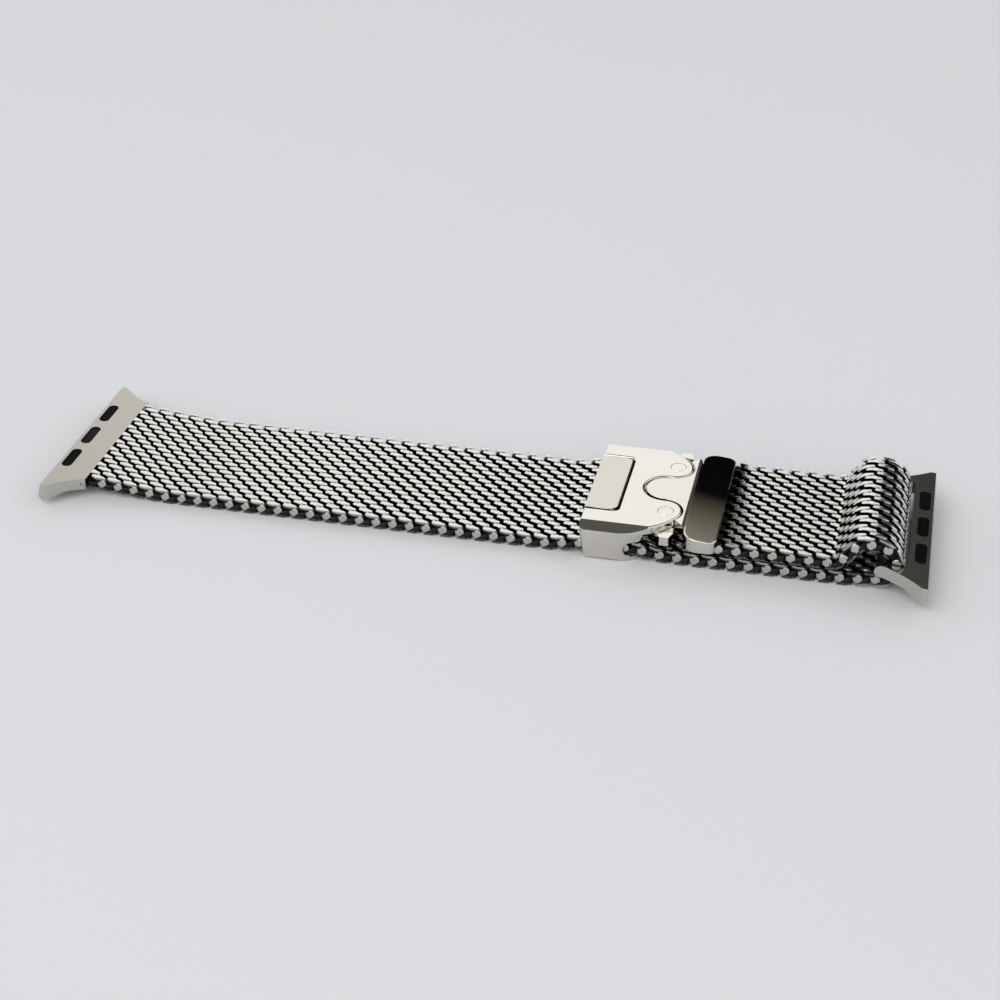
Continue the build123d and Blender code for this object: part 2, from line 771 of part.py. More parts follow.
def lug_profile(depth):
    return [
        (0, lug_middle),
        (depth - lug_depth + lug_flat, lug_middle),
        (depth, -nose_drop),
        (depth - keel_inset, -keel_drop),
        (depth - waist_inset, -lug_middle),
        (0, -lug_middle),
    ]


def lug_plan(depth):
    """Half of the plan: a straight neck, then a hollow curve out to the rail's end."""
    flare_start = (neck_length, neck_half_width)
    flare_end = (depth - flare_end_inset, lug_length / 2)
    bow = flare_bow_share * (flare_end[0] - flare_start[0])
    middle = ((flare_start[0] + flare_end[0]) / 2 + bow, (flare_start[1] + flare_end[1]) / 2 - bow)
    Polyline((-lug_thickness, 0), (-lug_thickness, neck_half_width), flare_start)
    ThreePointArc(flare_start, middle, flare_end)
    Polyline(flare_end, (depth + lug_thickness, lug_length / 2), (depth + lug_thickness, 0))


def lug_blank(side_plane, top_plane, depth):
    with BuildPart() as blank:
        with BuildSketch(side_plane) as side_view:
            with BuildLine():
                Polyline(*lug_profile(depth), close=True)
            make_face()
            fillet(side_view.vertices().group_by(Axis.X)[-1], nose_round)
            fillet(side_view.vertices().group_by(Axis.Y)[0], keel_round)
        extrude(amount=lug_length / 2, both=True)
        with BuildSketch(top_plane):
            with BuildLine():
                lug_plan(depth)
                mirror(about=Plane.XZ)
            make_face()
        extrude(amount=-overrun, both=True, mode=Mode.INTERSECT)
        with BuildSketch(top_plane):
            with Locations([(depth - oval_inset, i * oval_spacing) for i in (-1, 0, 1)]):
                SlotOverall(oval_length, oval_width, rotation=90)
        extrude(amount=-oval_pocket_depth, mode=Mode.SUBTRACT)
    return blank.part


def oval_piece(top_plane, depth, places, gap, height):
    """Oval pieces that sit just under the lug's face, in its pockets."""
    with BuildPart() as piece:
        with BuildSketch(top_plane.offset(-oval_recess)):
            with Locations([(depth - oval_inset, i * oval_spacing) for i in places]):
                SlotOverall(oval_length - 2 * gap, oval_width - 2 * gap, rotation=90)
        extrude(amount=-height)
    return piece.part


def latch_spring(top_plane, depth):
    top = oval_recess + latch_height + latch_spring_gap
    with BuildPart() as spring:
        with BuildSketch(top_plane.offset(-top)):
            with Locations((depth - oval_inset, 0)):
                Circle(latch_spring_radius)
                Circle(latch_spring_bore_radius, mode=Mode.SUBTRACT)
        extrude(amount=top - oval_pocket_depth)
    return spring.part


left_lug_top = lug_top_plane(mesh_end_x, lug_mesh_middle, -1, left_lug_tilt, lug_middle)
with BuildPart() as left_lug:
    add(lug_blank(left_lug_side, left_lug_top, lug_depth))
    with BuildSketch(left_lug_side):
        Rectangle(2 * groove_depth, groove_height)
    extrude(amount=mesh_width / 2 - groove_depth + tongue_gap, both=True, mode=Mode.SUBTRACT)
    with BuildSketch(left_lug_side):
        with Locations((lug_pin_inset, 0)):
            Circle(lug_pin_radius + fixed_gap)
    extrude(amount=overrun, both=True, mode=Mode.SUBTRACT)
save(left_lug.part, "left_lug")
save(oval_piece(left_lug_top, lug_depth, (0,), latch_gap, latch_height), "left_lug_latch")
save(latch_spring(left_lug_top, lug_depth), "left_lug_latch_spring")
save(oval_piece(left_lug_top, lug_depth, (-1, 1), fixed_gap, pad_height), "left_lug_pads")

with BuildPart() as left_lug_pin:
    with BuildSketch(left_lug_side):
        with Locations((lug_pin_inset, 0)):
            Circle(lug_pin_radius)
    extrude(amount=neck_half_width - fixed_gap, both=True)
save(left_lug_pin.part, "left_lug_pin")

# The slotted lug turns on the fold: its round inner bar passes through the loop.
right_lug_depth = lug_depth + rail_reach
right_lug_side = lug_side_plane(lug_bar_x, lug_bar_height, 1, right_lug_tilt)
right_lug_top = lug_top_plane(lug_bar_x, lug_bar_height, 1, right_lug_tilt, lug_middle)
with BuildPart() as right_lug:
    add(lug_blank(right_lug_side, right_lug_top, right_lug_depth))
    with BuildSketch(right_lug_side):
        Circle(lug_middle)
    extrude(amount=neck_half_width, both=True)
    with BuildSketch(right_lug_top):
        with Locations(((rail_start - lug_thickness) / 2, 0)):
            Rectangle(rail_start + lug_thickness, mesh_width + 2 * arm_inner_gap)
    extrude(amount=overrun, both=True, mode=Mode.SUBTRACT)
    with BuildSketch(right_lug_side):
        Circle(lug_bar_radius)
    extrude(amount=neck_half_width, both=True)
save(right_lug.part, "right_lug")
save(oval_piece(right_lug_top, right_lug_depth, (0,), latch_gap, latch_height), "right_lug_latch")
save(latch_spring(right_lug_top, right_lug_depth), "right_lug_latch_spring")
save(oval_piece(right_lug_top, right_lug_depth, (-1, 1), fixed_gap, pad_height), "right_lug_pads")
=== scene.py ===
# %% [markdown]
# # A woven steel watch band
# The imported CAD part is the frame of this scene: every joint, pin and plate already sits where it belongs,
# in metres. This lesson dresses it: the flat CAD plates that stand for the woven band are replaced by real
# wire spirals, and the clasp, lugs and pads get the finishes that the real ones have.

# %% Load the frame
import bpy
import bmesh
import math
from mathutils import Matrix, Vector


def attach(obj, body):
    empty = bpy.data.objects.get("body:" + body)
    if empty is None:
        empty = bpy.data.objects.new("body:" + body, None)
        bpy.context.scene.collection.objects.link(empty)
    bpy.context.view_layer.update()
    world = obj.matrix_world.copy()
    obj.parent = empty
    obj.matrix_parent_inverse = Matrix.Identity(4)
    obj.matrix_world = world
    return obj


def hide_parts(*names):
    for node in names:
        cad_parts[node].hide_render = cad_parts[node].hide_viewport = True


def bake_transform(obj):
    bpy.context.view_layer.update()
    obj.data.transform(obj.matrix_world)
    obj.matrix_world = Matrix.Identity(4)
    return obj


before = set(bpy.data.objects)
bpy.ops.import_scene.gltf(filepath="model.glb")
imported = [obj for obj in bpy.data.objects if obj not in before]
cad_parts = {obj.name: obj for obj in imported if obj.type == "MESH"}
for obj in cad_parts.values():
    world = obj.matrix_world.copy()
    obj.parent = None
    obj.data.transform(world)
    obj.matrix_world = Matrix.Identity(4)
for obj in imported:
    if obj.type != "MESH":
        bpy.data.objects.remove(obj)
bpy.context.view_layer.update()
MM = 0.001

# %% [markdown]
# ## Two helpers
# Colours are written as on a colour card, in sRGB hex, but a shader works in linear light, so one function
# turns them over. Nodes could be added one line at a time. One small function that sets their inputs by name
# or number and makes their links keeps each material short enough to read.

# %% Colour and node helpers
def linear(hex_colour):
    parts = [int(hex_colour[i:i + 2], 16) / 255 for i in (1, 3, 5)]
    return tuple(p / 12.92 if p <= 0.04045 else ((p + 0.055) / 1.055) ** 2.4 for p in parts) + (1.0,)


def add_node(tree, kind, links=(), inputs=(), **settings):
    node = tree.nodes.new(kind)
    for name, value in settings.items():
        setattr(node, name, value)
    for name, value in dict(inputs).items():
        node.inputs[name].default_value = value
    for name, source in dict(links).items():
        tree.links.new(source, node.inputs[name])
    return node


print("white card in linear light", linear("#ffffff"))

# %% [markdown]
# ## The camera
# The photograph looks down at the band from the front, a little from the right, with a long lens. A camera
# could be aimed by eye or at an empty. This one's place and axes were worked out from the object's own
# corners, so the way it looks and the picture's right are written as unit vectors.

# %% Camera
CAMERA_PLACE = Vector((33.28, -200.65, 130.80)) * MM
LOOK = Vector((-0.20319931, 0.82059062, -0.53417326))
RIGHT = Vector((0.97260562, 0.23207054, -0.01347481))
camera_data = bpy.data.cameras.new("camera")
camera_data.sensor_width = 36
camera_data.lens = 65.79
camera_data.clip_start = 0.01
camera_data.clip_end = 20
camera = bpy.data.objects.new("camera", camera_data)
bpy.context.collection.objects.link(camera)
axes = Matrix((RIGHT, RIGHT.cross(LOOK), -LOOK)).transposed().to_4x4()
camera.matrix_world = Matrix.Translation(CAMERA_PLACE) @ axes
bpy.context.scene.camera = camera
print("camera", round(CAMERA_PLACE.length / MM), "mm from the clasp")

# %% [markdown]
# ## Floor and light
# Polished steel has no look of its own: it shows the room. The room here is a pale floor under a soft sky
# that is bright all round and dark overhead, with one soft lamp in front and a faint one behind. The flat
# tops mirror the bright sky behind, and the bevels mirror the dark overhead.
#
# The floor is matt paper. It has almost no gloss, so that it shows only the soft shadow of the band. It lies
# a hair below the band, so that no two faces share a plane.

# %% Floor
FLOOR_HALF = 2.0
FLOOR_DROP = 0.05 * MM
scene = bpy.context.scene
scene.view_settings.view_transform = "Standard"
floor_paint = bpy.data.materials.new("matt_paper_floor")
floor_paint.use_nodes = True
paper = floor_paint.node_tree.nodes["Principled BSDF"]
paper.inputs["Base Color"].default_value = linear("#e0e1e3")
paper.inputs["Roughness"].default_value = 0.9
paper.inputs["Specular IOR Level"].default_value = 0.2
bm = bmesh.new()
bmesh.ops.create_grid(bm, x_segments=1, y_segments=1, size=FLOOR_HALF)
bmesh.ops.translate(bm, verts=bm.verts, vec=(0, 0, -FLOOR_DROP))
floor_mesh = bpy.data.meshes.new("floor")
bm.to_mesh(floor_mesh)
bm.free()
floor_mesh.materials.append(floor_paint)
floor = bpy.data.objects.new("floor", floor_mesh)
bpy.context.collection.objects.link(floor)
print("floor", 2 * FLOOR_HALF, "m wide")

# %% [markdown]
# ## Lamps
# A small lamp would draw hard shadows and hot spots on steel. These are wide area lamps, as a studio's
# softboxes are, turned to the clasp, and weak enough that pale metal doesn't clip to white.

# %% Lamps
def soft_lamp(name, place, target, size, watts):
    data = bpy.data.lights.new(name, "AREA")
    data.shape = "RECTANGLE"
    data.size, data.size_y = size
    data.energy = watts
    lamp = bpy.data.objects.new(name, data)
    lamp.location = place
    lamp.rotation_mode = "QUATERNION"
    lamp.rotation_quaternion = (Vector(target) - Vector(place)).to_track_quat("-Z", "Y")
    bpy.context.collection.objects.link(lamp)


CLASP = (0, 0, 0)
soft_lamp("back_softbox", place=(-0.16, 0.55, 0.37), target=CLASP, size=(0.30, 0.34), watts=0.065)
soft_lamp("front_softbox", place=(-0.25, -0.45, 0.65), target=CLASP, size=(0.6, 0.6), watts=1.8)

# %% [markdown]
# ## Cards
# A photographer darkens a mirror-like face with a black card held just out of the picture. Two upright cards
# stand behind the band, a small one close behind the cross bar and a large one far behind on the right.
# Only reflections see them. The faces that lean to the right mirror them, which gives those faces the near
# black of a product picture, and each card's two tones give them a soft change of tone.

# %% Cards
def make_card(name, back, left, right, low, high, colours, blend_from, blend_to):
    """An upright card behind the band that only reflections see, one colour below and one above."""
    paint = bpy.data.materials.new(name + "_paint")
    paint.use_nodes = True
    tree = paint.node_tree
    shader = tree.nodes["Principled BSDF"]
    shader.inputs["Roughness"].default_value = 1.0
    shader.inputs["Specular IOR Level"].default_value = 0.0
    place = add_node(tree, "ShaderNodeTexCoord")
    height = add_node(tree, "ShaderNodeSeparateXYZ", {"Vector": place.outputs["Object"]})
    share = add_node(tree, "ShaderNodeMapRange", {"Value": height.outputs["Z"]},
                     {"From Min": blend_from, "From Max": blend_to})
    tone = add_node(tree, "ShaderNodeValToRGB", {"Fac": share.outputs["Result"]})
    tone.color_ramp.elements[0].color = linear(colours[0])
    tone.color_ramp.elements[1].color = linear(colours[1])
    tree.links.new(tone.outputs["Color"], shader.inputs["Base Color"])
    upright = Matrix.Rotation(math.radians(90), 3, "X")
    bm = bmesh.new()
    bmesh.ops.create_grid(bm, x_segments=1, y_segments=1, size=0.5)
    bmesh.ops.scale(bm, verts=bm.verts, vec=(right - left, high - low, 1))
    bmesh.ops.rotate(bm, verts=bm.verts, cent=(0, 0, 0), matrix=upright)
    bmesh.ops.translate(bm, verts=bm.verts, vec=((left + right) / 2, back, (low + high) / 2))
    mesh = bpy.data.meshes.new(name)
    bm.to_mesh(mesh)
    bm.free()
    mesh.materials.append(paint)
    card = bpy.data.objects.new(name, mesh)
    bpy.context.collection.objects.link(card)
    card.visible_camera = False
    card.visible_diffuse = False
    card.visible_shadow = False
    print(name, round((right - left) / MM, 1), "mm wide,", round((high - low) / MM, 1), "mm high")


make_card("bar_card", back=0.015, left=0.0092, right=0.0150, low=0.006, high=0.030,
          colours=("#050607", "#9c988b"), blend_from=0.0135, blend_to=0.0215)
make_card("lug_card", back=0.5, left=0.055, right=0.36, low=0.01, high=0.52,
          colours=("#2e2e2c", "#3c3c39"), blend_from=0.25, blend_to=0.40)

# %% [markdown]
# ## Sky
# An outdoor picture wrapped round the scene would bring odd reflections. A studio is plainer: white walls,
# and a dark ceiling. So the sky's tone depends on height alone, and is the same from all round.

# %% Sky
WALL_TOP = 0.66
CEILING = 0.93
world = bpy.data.worlds.new("studio")
scene.world = world
world.use_nodes = True
sky = world.node_tree
sky.nodes.clear()
where = add_node(sky, "ShaderNodeTexCoord")
split = add_node(sky, "ShaderNodeSeparateXYZ", {"Vector": where.outputs["Generated"]})
room = add_node(sky, "ShaderNodeValToRGB", {"Fac": split.outputs["Z"]})
room.color_ramp.elements[0].position = WALL_TOP
room.color_ramp.elements[0].color = (1.10, 1.10, 1.11, 1)
room.color_ramp.elements[1].position = CEILING
room.color_ramp.elements[1].color = (0.12, 0.12, 0.12, 1)
light = add_node(sky, "ShaderNodeBackground", {"Color": room.outputs["Color"]}, {"Strength": 1.0})
add_node(sky, "ShaderNodeOutputWorld", {"Surface": light.outputs[0]})
print("walls reach up to", round(math.degrees(math.asin(WALL_TOP))), "degrees")

# %% [markdown]
# ## A bare metal
# All the metal here is stainless steel, and its pieces differ in how they were finished. A finish is a base
# colour, a roughness and, where the tool leaves a grain, a fine noise that moves the roughness and the
# surface a little. The grain could be a picture of a brushed plate. Noise needs no seams and takes its scale
# from a real size in millimetres.

# %% Metal helper
def steel(name, colour, roughness, grain_mm=0.0, grain_depth=0.0, stretch=(1, 1, 1)):
    """A bare metal with an optional fine grain in its roughness and bump."""
    material = bpy.data.materials.new(name)
    material.use_nodes = True
    tree = material.node_tree
    shader = tree.nodes["Principled BSDF"]
    shader.inputs["Metallic"].default_value = 1.0
    shader.inputs["Base Color"].default_value = linear(colour)
    shader.inputs["Roughness"].default_value = roughness
    if grain_mm:
        place = add_node(tree, "ShaderNodeTexCoord")
        turn = add_node(tree, "ShaderNodeMapping", {"Vector": place.outputs["Object"]}, {"Scale": stretch})
        grain = add_node(tree, "ShaderNodeTexNoise", {"Vector": turn.outputs["Vector"]},
                         {"Scale": 1 / (grain_mm * MM), "Detail": 3.0, "Roughness": 0.6})
        rough = add_node(tree, "ShaderNodeMapRange", {"Value": grain.outputs["Fac"]},
                         {"From Min": 0.3, "From Max": 0.7,
                          "To Min": roughness * 0.9, "To Max": roughness * 1.12})
        tree.links.new(rough.outputs["Result"], shader.inputs["Roughness"])
        bump = add_node(tree, "ShaderNodeBump", {"Height": grain.outputs["Fac"]},
                        {"Strength": 1.0, "Distance": grain_depth * MM})
        tree.links.new(bump.outputs["Normal"], shader.inputs["Normal"])
    print(name, colour, "roughness", roughness)
    return material

# %% [markdown]
# ## The wire of the woven band
# A milanese mesh is made of flat spirals of steel wire that lie across the band. Each one is screwed into its
# neighbour, half a turn on, and the finished cloth is rolled and ground flat on both faces, so that the top
# of every turn is a small bright flat with black between. It could be a bump pattern on a plate, but its
# edge would stay straight and it would lie dead in side light, so every wire is modelled.
#
# Its look comes from two things: the bright ground flats, and the dark between the wires. So the wire's
# colour goes from bright to a painted shade with the depth below the face, which is stored on the mesh while
# it is still flat.

# %% Finishes of the wire
GROUND_TONE = "#d0cfc9"
# Painted shade: the colour of the wire where it lies deep between its neighbours.
SHADE_TONE = "#232220"


def drawn_wire():
    """Drawn stainless wire: bright where it was ground, with painted shade between the turns."""
    material = steel("ground_stainless_wire", GROUND_TONE, 0.22)
    tree = material.node_tree
    shader = tree.nodes["Principled BSDF"]
    # Painted shade: the deeper a point lies below the ground face, the darker its colour.
    depth = add_node(tree, "ShaderNodeAttribute", attribute_name="depth")
    tone = add_node(tree, "ShaderNodeValToRGB", {"Fac": depth.outputs["Fac"]})
    tone.color_ramp.elements[0].position = 0.01
    tone.color_ramp.elements[0].color = linear(GROUND_TONE)
    tone.color_ramp.elements[1].position = 0.22
    tone.color_ramp.elements[1].color = linear(SHADE_TONE)
    tree.links.new(tone.outputs["Color"], shader.inputs["Base Color"])
    return material


wire_steel = drawn_wire()
# Weld beads ground flush: duller and greyer than the rolled flats. The grinding marks are drawn 0.25 mm
# apart, coarser than the real ones, which would not show.
end_steel = steel("ground_stainless_ends", "#c3c4c1", 0.34, grain_mm=0.25, grain_depth=0.003)

# %% [markdown]
# ## One spiral
# A spiral is a wire carried round an axis while it moves along it, which is just what the spin operator does
# with its extra step. A Screw modifier or a bevelled curve would make one too, but the spin gives a mesh that
# can be pressed at once. The wire starts as a ring of twelve points and is spun in steps of 30 degrees. The
# round spiral is then pressed: wider along the band, taller, and everything above the ground faces is brought
# down to them. The rolling also turns each flat a little, so that it lies nearly along the band.
#
# The wire's radius is a little larger toward the fixed lug, where the flats of the real band look wider, and
# a little smaller on the fold, where the bend opens the weave.

# %% Spin and press a spiral
HALF_WIDTH = 10.0  # from the band's middle to its edge
TURN_RADIUS = 0.50  # from the spiral's axis to the wire's middle, before it is pressed
TURN_PITCH = 2.07  # from turn to turn across the band
START = 45.0  # degrees round the axis at which the wire starts
STEP = 30.0  # degrees from ring to ring
WIRE_SIDES = 12
FACE = 0.93  # from the strip's middle to its ground faces
WIDER = 1.42  # how much the press widens a spiral along the band
HEIGHT = 1.46  # half the spiral's height before it is ground down to FACE
TWIST = 0.12  # how much the rolling turns the flats
WIRES = (0.45, 0.435, 0.42, 0.40, 0.38, 0.36)


def make_spiral(wire_radius):
    steps = round(2 * HALF_WIDTH / TURN_PITCH * 360 / STEP)
    corner_up = Matrix.Rotation(math.radians(180 / WIRE_SIDES), 3, "Z")
    to_start = Matrix.Rotation(math.radians(-START), 3, "Y")
    bm = bmesh.new()
    bmesh.ops.create_circle(bm, segments=WIRE_SIDES, radius=wire_radius)
    bmesh.ops.rotate(bm, verts=bm.verts, cent=(0, 0, 0), matrix=corner_up)
    bmesh.ops.translate(bm, verts=bm.verts, vec=(TURN_RADIUS, -HALF_WIDTH, 0))
    bmesh.ops.rotate(bm, verts=bm.verts, cent=(0, 0, 0), matrix=to_start)
    bmesh.ops.spin(bm, geom=bm.edges[:], cent=(0, 0, 0), axis=(0, -1, 0), angle=math.radians(steps * STEP),
                   steps=steps, dvec=(0, TURN_PITCH * STEP / 360, 0))
    bmesh.ops.holes_fill(bm, edges=[e for e in bm.edges if e.is_boundary], sides=WIRE_SIDES)
    bmesh.ops.scale(bm, verts=bm.verts, vec=(WIDER, 1, HEIGHT / (TURN_RADIUS + wire_radius)))
    for v in bm.verts:
        v.co.z = max(-FACE, min(FACE, v.co.z))
        v.co.y = max(-HALF_WIDTH, min(HALF_WIDTH, v.co.y + TWIST * v.co.x * v.co.z))
    bmesh.ops.recalc_face_normals(bm, faces=bm.faces)
    mesh = bpy.data.meshes.new("spiral")
    bm.to_mesh(mesh)
    print("spiral of wire", wire_radius, ":", len(bm.verts), "points,", len(bm.faces), "faces")
    bm.free()
    return mesh


spirals = {radius: make_spiral(radius) for radius in WIRES}

# %% [markdown]
# ## The welded ends
# The wire ends of two neighbouring spirals are welded together at the band's edge and ground flush. They show
# as a row of small round studs. Each could be a squashed ball, but the grinding leaves a flat, so it is a
# short cylinder with a softened rim.

# %% The welded end
STUD_RADIUS = 0.60
STUD_LENGTH = 0.7
STUD_RIM = 0.07
STUD_RISE = 0.02


def make_stud():
    bm = bmesh.new()
    bmesh.ops.create_cone(bm, cap_ends=True, segments=16, radius1=STUD_RADIUS, radius2=STUD_RADIUS,
                          depth=STUD_LENGTH)
    rim = [e for e in bm.edges if e.verts[0].co.z > 0 and e.verts[1].co.z > 0]
    bmesh.ops.bevel(bm, geom=rim, offset=STUD_RIM, offset_type="OFFSET", affect="EDGES", segments=1,
                    profile=0.5, material=-1)
    bmesh.ops.rotate(bm, verts=bm.verts, cent=(0, 0, 0), matrix=Matrix.Rotation(math.radians(90), 3, "X"))
    bmesh.ops.translate(bm, verts=bm.verts, vec=(0, -HALF_WIDTH + STUD_LENGTH / 2, STUD_RISE))
    mesh = bpy.data.meshes.new("stud")
    bm.to_mesh(mesh)
    bm.free()
    print("stud of", len(mesh.polygons), "faces")
    return mesh


stud = make_stud()

# %% [markdown]
# ## The route of the band
# The cloth is one strip. It lies on the table, climbs to the fixed lug on the left, passes through the clasp,
# goes round the bar of the slotted lug and comes back on top of itself. A Curve modifier could bend a flat
# strip along such a path, but it stretches the weave where the path turns. So a route in the band's side
# view, of straight runs with rounded corners, says where a point at a given distance along the strip lies
# and which way the strip faces there.

# %% Routes with rounded corners
def make_route(corners, radii, step=0.05):
    """Points along straight runs and corner arcs: (distance, x, z, heading), all in mm and radians."""
    bends = []
    for before, corner, after, radius in zip(corners, corners[1:], corners[2:], radii):
        a = (Vector(before) - Vector(corner)).normalized()
        b = (Vector(after) - Vector(corner)).normalized()
        half = a.angle(b) / 2
        reach = radius / math.tan(half)
        bends.append((tuple(Vector(corner) + a * reach), tuple(Vector(corner) + b * reach), radius))
    points = []
    here = Vector(corners[0])
    for start, end, radius in bends + [(corners[-1], None, None)]:
        start = Vector(start)
        heading = math.atan2(start.y - here.y, start.x - here.x)
        count = max(1, round((start - here).length / step))
        for i in range(count):
            points.append((here + (start - here) * i / count, heading))
        points.append((start, heading))
        if end is None:
            break
        end = Vector(end)
        chord = end - start
        turn = math.atan2(chord.y, chord.x) - heading
        turn = (turn + math.pi) % (2 * math.pi) - math.pi
        side = 1 if turn > 0 else -1
        centre = start + Vector((-math.sin(heading), math.cos(heading))) * side * radius
        count = max(2, round(abs(2 * turn) * radius / step))
        for i in range(1, count + 1):
            angle = heading + 2 * turn * i / count
            place = centre - Vector((-math.sin(angle), math.cos(angle))) * side * radius
            points.append((place, angle))
        here = end
    route = [(0.0, points[0][0].x, points[0][0].y, points[0][1])]
    for place, heading in points[1:]:
        gap = math.hypot(place.x - route[-1][1], place.y - route[-1][2])
        if gap > 1e-6:
            route.append((route[-1][0] + gap, place.x, place.y, heading))
    return route


def on_route(route, distance, offset):
    """The place at a distance along the route and an offset to its left, run straight on past its ends."""
    low, high = 0, len(route) - 1
    while high - low > 1:
        middle = (low + high) // 2
        if route[middle][0] <= distance:
            low = middle
        else:
            high = middle
    a, b = route[low], route[high]
    share = (distance - a[0]) / (b[0] - a[0])
    x, z = a[1] + (b[1] - a[1]) * share, a[2] + (b[2] - a[2]) * share
    heading = a[3] + (b[3] - a[3]) * max(0.0, min(1.0, share))
    return x - math.sin(heading) * offset, z + math.cos(heading) * offset


def distance_at(route, x):
    """The distance along the route of the first point that reaches x."""
    return next((p[0] for p in route if p[1] >= x), route[-1][0])


# The strip's middle, from the fixed lug along the table, through the clasp, round the bar and back.
CORNERS = [(-71.15, 2.0), (-60.15, 0.95), (-7.45, 0.95), (-3.65, 1.52), (3.65, 1.52), (7.45, 0.95),
           (30.25, 0.95), (33.25, 1.30), (36.05, 1.30), (36.05, 6.45), (31.25, 6.20), (28.85, 3.0),
           (11.45, 3.0)]
CORNER_RADII = [12, 3, 3, 3, 3, 1.9, 1.9, 1.9, 3.0, 1.5, 1.5]
route = make_route(CORNERS, CORNER_RADII)
strip_end = route[-1][0]
print("the strip is", round(strip_end, 1), "mm long")

# %% [markdown]
# ## Laying the spirals
# The spirals are laid out flat, one after another, with every second one turned half round, and then each
# point is carried to its place on the route. An Array modifier could repeat them, but each stretch has its
# own pitch and bend. While the strip is flat, the depth of each point below the ground faces is stored for
# the wire's painted shade. Two kinds of wire get painted shade though they are high: the tail's last turns
# next to the bar, and the band's edge on the side that looks down.

# %% Lay a run of spirals
PITCH = 2.259  # from stud to stud along the strip
SPIRAL_SHIFT = 0.25  # shares of a pitch by which the two spirals lie before and after their stud
# Painted shade: the shade painted between the wires is lighter toward the band's edge.
EDGE_FADE = 0.8  # mm over which the shade between the wires gets lighter toward the band's edge
# Painted shade: how dark the strap end's last turns by the bar and the band's downward edge are painted.
TAIL_PAINTED_SHADE = 0.25
EDGE_PAINTED_SHADE = 0.18
FLAT = FACE - 0.001
SHARP = math.radians(38)


def add_turned(bm, mesh, half_turn, axis, place):
    """Copy a mesh into bm, turned half round about an axis where half_turn is 1, and move it along x."""
    verts, faces = len(bm.verts), len(bm.faces)
    bm.from_mesh(mesh)
    bm.verts.ensure_lookup_table()
    bm.faces.ensure_lookup_table()
    fresh = bm.verts[verts:]
    turn = Matrix.Rotation(math.pi * half_turn, 3, axis)
    bmesh.ops.rotate(bm, verts=fresh, cent=(0, 0, 0), matrix=turn)
    bmesh.ops.translate(bm, verts=fresh, vec=(place, 0, 0))
    return bm.faces[faces:]


def lay_cloth(name, first_stud, last_stud, pitch=PITCH, wire=0.38, shade_past=None, cut=None, under=-1):
    """Studs from first_stud to last_stud, as distances along the route, each with its two spirals.

    Past the distance that marks the tail's last turns the wire is painted dark, a painted shade; at cut one
    more spiral is sawn off square; under says which face of the strip looks down, and that face's edge is
    painted dark, a painted shade.
    """
    bm = bmesh.new()
    layer = bm.verts.layers.float.new("depth")
    count = round((last_stud - first_stud) / pitch) + 1
    if cut is not None:
        add_turned(bm, spirals[wire], 1, "Y", first_stud - (1 - SPIRAL_SHIFT) * pitch)
    for i in range(count):
        add_turned(bm, spirals[wire], 0, "Y", first_stud + (i - SPIRAL_SHIFT) * pitch)
        add_turned(bm, spirals[wire], 1, "Y", first_stud + (i + SPIRAL_SHIFT) * pitch)
    for v in bm.verts:
        if cut is not None:
            v.co.x = max(cut, v.co.x)
        # Painted shade: the depth below the ground face, lighter toward the edge, sets how dark the wire is
        # painted.
        edge = min(1, (HALF_WIDTH - abs(v.co.y)) / EDGE_FADE)
        # Painted shade on the tail's last turns and on the edge of the face that looks down, however high the
        # wire is.
        painted_dark = TAIL_PAINTED_SHADE if shade_past is not None and v.co.x > shade_past else 0.0
        if v.co.z * under > 0:
            painted_dark = max(painted_dark, EDGE_PAINTED_SHADE * (1 - edge))
        v[layer] = max((1 - abs(v.co.z) / FACE) * (0.5 + 0.5 * edge), painted_dark)
    for f in bm.faces:
        f.smooth = min(abs(v.co.z) for v in f.verts) < FLAT
    for i in range(count):
        for half_turn in (0, 1):
            for f in add_turned(bm, stud, half_turn, "Z", first_stud + i * pitch):
                f.material_index = 1
                f.smooth = True
    for v in bm.verts:
        x, z = on_route(route, v.co.x, v.co.z)
        v.co = Vector((x, v.co.y, z)) * MM
    mesh = bpy.data.meshes.new(name)
    bm.to_mesh(mesh)
    bm.free()
    mesh.set_sharp_from_angle(angle=SHARP)
    mesh.materials.append(wire_steel)
    mesh.materials.append(end_steel)
    piece = bpy.data.objects.new(name, mesh)
    bpy.context.collection.objects.link(piece)
    print(name, count, "studs,", len(mesh.polygons), "faces")
    return piece

# %% [markdown]
# ## From the fixed lug to the clasp
# The real cloth bends everywhere. The frame bends it at four lines, so the cloth is cut into stretches: a
# plain one rides on each rigid section, and a short one, which rides on neither, lies over each line and runs
# from one section to the next, so that no gap opens there. The studs keep one count all the way, so the cuts
# don't show.

# %% The stretches that bend and the stretches between them
FLEX = [-14.15, -28.15, -42.15, -56.15]
BEND_REACH = 3.4
BEND_WIRES = (0.38, 0.40, 0.435, 0.45)
SECTION_WIRES = (0.40, 0.42, 0.435)
LEFT_STUD = -5.92
BODIES = ["clasp", "band_section_1", "band_section_2", "band_section_3", "left_lug_end"]


def studs_between(phase, low, high):
    """The first and last stud between two places, where phase is the place of any one stud in the row."""
    first = math.ceil((low - phase) / PITCH)
    last = math.floor((high - phase) / PITCH)
    return distance_at(route, phase + first * PITCH), distance_at(route, phase + last * PITCH)


